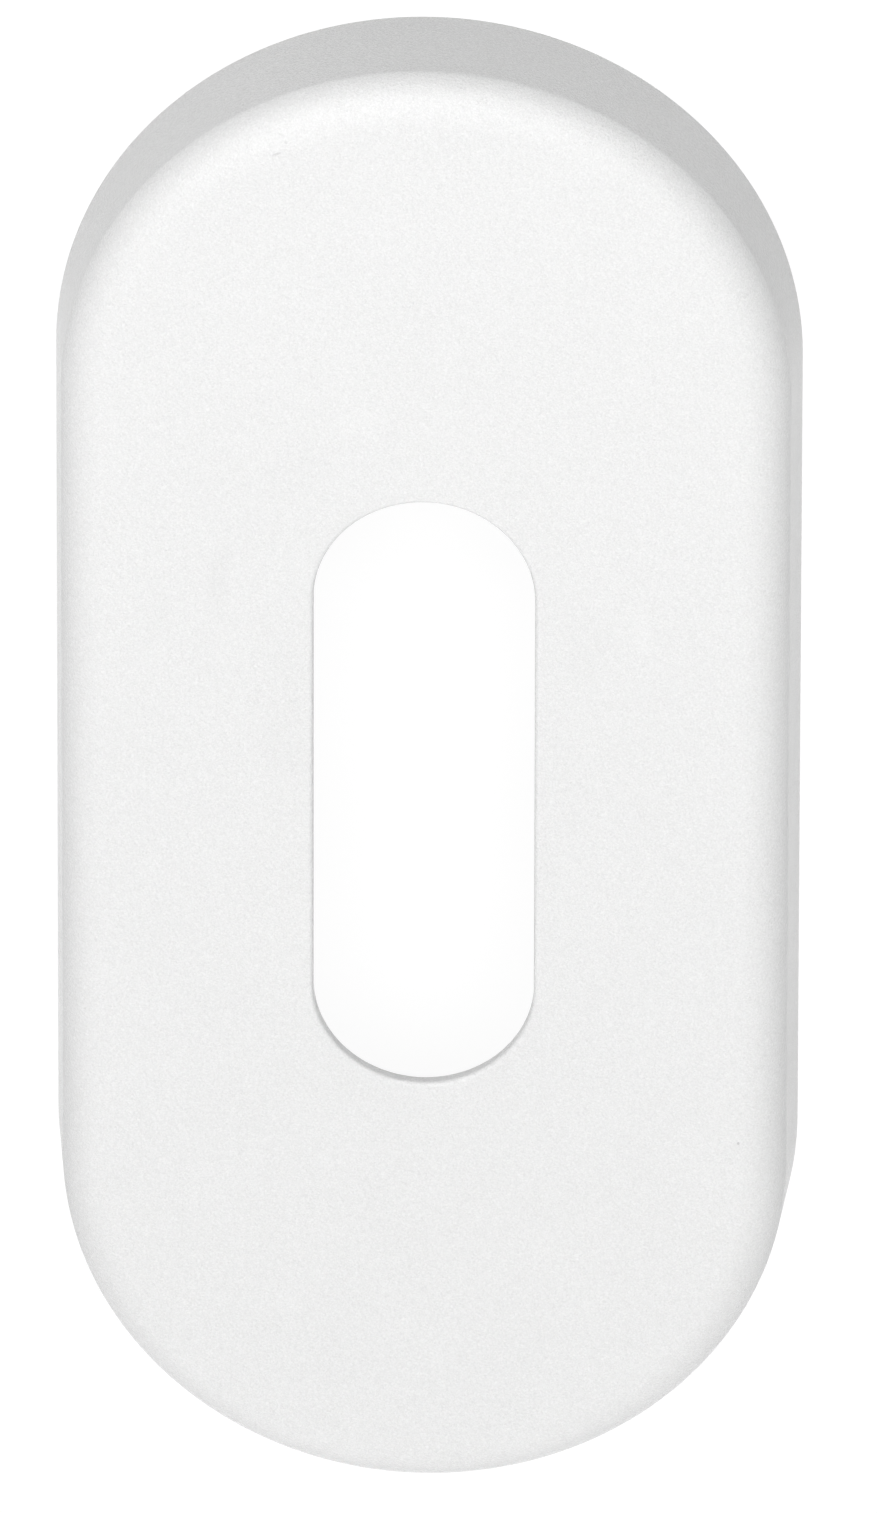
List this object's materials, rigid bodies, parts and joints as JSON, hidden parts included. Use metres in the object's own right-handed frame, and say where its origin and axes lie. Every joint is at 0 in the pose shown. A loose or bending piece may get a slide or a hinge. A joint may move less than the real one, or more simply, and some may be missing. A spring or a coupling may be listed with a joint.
{
  "type": "keyhole escutcheon",
  "caption": "Long oval keyhole cover: a shallow shell with a rounded front edge, an open back and an upright oval slot that lets the key through.",
  "frame": {"origin": "middle of the flat back rim, in the plane of the rim that lies on the door or drawer front", "axes": "+Z out of the door, square to the front face; +Y up along the long sides and the slot; +X across, to the right seen from the front"},
  "size_m": [0.03, 0.065, 0.0055],
  "materials": {
    "satin_white": "satin white powder coat with a very fine grain"
  },
  "bodies": {
    "root": {"escutcheon": "satin_white"}
  },
  "joints": []
}
